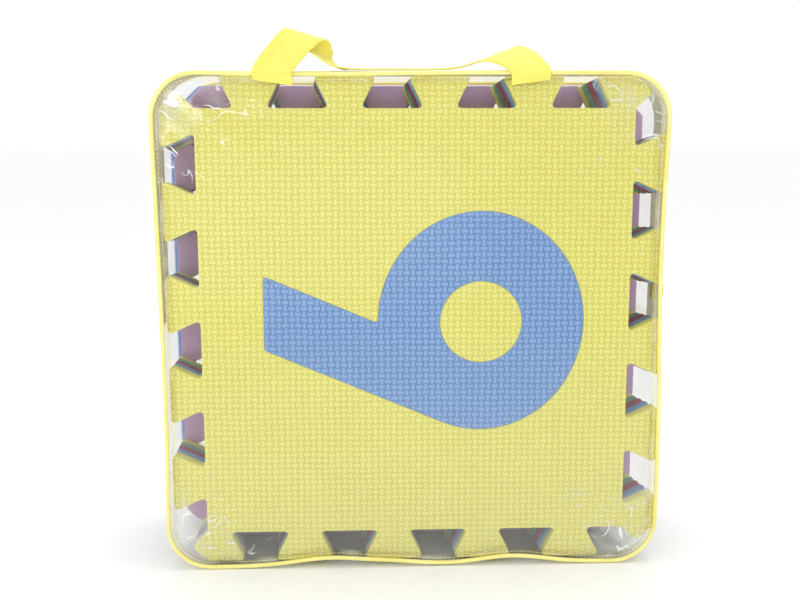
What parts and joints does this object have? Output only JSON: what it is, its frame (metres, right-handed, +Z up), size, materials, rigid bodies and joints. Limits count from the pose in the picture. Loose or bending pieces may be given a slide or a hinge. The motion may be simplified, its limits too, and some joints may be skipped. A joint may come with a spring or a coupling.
{
  "type": "blocking mats",
  "caption": "Interlocking foam number mats standing on edge in a clear zipped carry bag with corded piping and a webbing handle.",
  "frame": {"origin": "on the floor under the middle of the bounding box", "axes": "+Z up, the front panel faces -Y, +X is the right as seen from the front"},
  "size_m": [0.3376, 0.112, 0.3509],
  "materials": {
    "foam_yellow": "matt EVA foam embossed with a basket weave",
    "foam_blue": "matt EVA foam embossed with a basket weave",
    "foam_red": "matt EVA foam embossed with a basket weave",
    "foam_green": "matt EVA foam embossed with a basket weave",
    "foam_purple": "matt EVA foam embossed with a basket weave",
    "film": "clear soft vinyl film, slightly wrinkled",
    "piping": "soft vinyl piping over a cord",
    "zip_tape": "woven polyester tape",
    "zip_coil": "nylon coil",
    "zip_metal": "painted zinc",
    "zip_pull": "painted zinc",
    "webbing": "ribbed polypropylene webbing"
  },
  "bodies": {
    "root": {"mat_01_yellow": "foam_yellow", "mat_02_blue": "foam_blue", "mat_03_red": "foam_red", "mat_04_green": "foam_green", "mat_05_yellow": "foam_yellow", "mat_06_purple": "foam_purple", "mat_07_blue": "foam_blue", "mat_08_red": "foam_red", "mat_09_green": "foam_green", "mat_10_purple": "foam_purple", "numeral_9": "foam_blue", "counter_9": "foam_yellow", "numeral_7": "foam_yellow", "numeral_5": "foam_green", "numeral_3": "foam_purple", "numeral_1": "foam_red", "numeral_8": "foam_yellow", "counter_8": "foam_purple", "counter_8_lower": "foam_purple", "numeral_6": "foam_red", "counter_6": "foam_blue", "numeral_4": "foam_blue", "counter_4": "foam_red", "numeral_2": "foam_yellow", "numeral_0": "foam_green", "counter_0": "foam_purple", "front_panel": "film", "back_panel": "film", "lower_gusset": "film", "upper_gusset_front": "film", "upper_gusset_back": "film", "seam_binding_left": "film", "seam_binding_right": "film", "front_piping": "piping", "back_piping": "piping", "zip_tape_front": "zip_tape", "zip_tape_back": "zip_tape", "zip_coil_front": "zip_coil", "zip_coil_back": "zip_coil", "zip_stop_start": "zip_metal", "zip_stop_end": "zip_metal", "handle_tab_left": "webbing", "handle_tab_right": "webbing"},
    "handle": {"handle_strap": "webbing"},
    "zip_slider": {"zip_slider": "zip_metal"},
    "zip_pull": {"zip_pull": "zip_pull"}
  },
  "joints": [
    {"name": "handle_swing", "type": "hinge", "parent": "root", "child": "handle", "pos_m": [0, -0.054, 0.3254], "axis": [1, 0, 0], "range_deg": [0, 150]},
    {"name": "zip_slide", "type": "slide", "parent": "root", "child": "zip_slider", "axis": [0, 0, 1], "range_m": [0, 0.105]},
    {"name": "pull_swing", "type": "hinge", "parent": "zip_slider", "child": "zip_pull", "pos_m": [0.16695, -0.03, 0.1837], "axis": [0, -1, 0], "range_deg": [0, 175]}
  ]
}
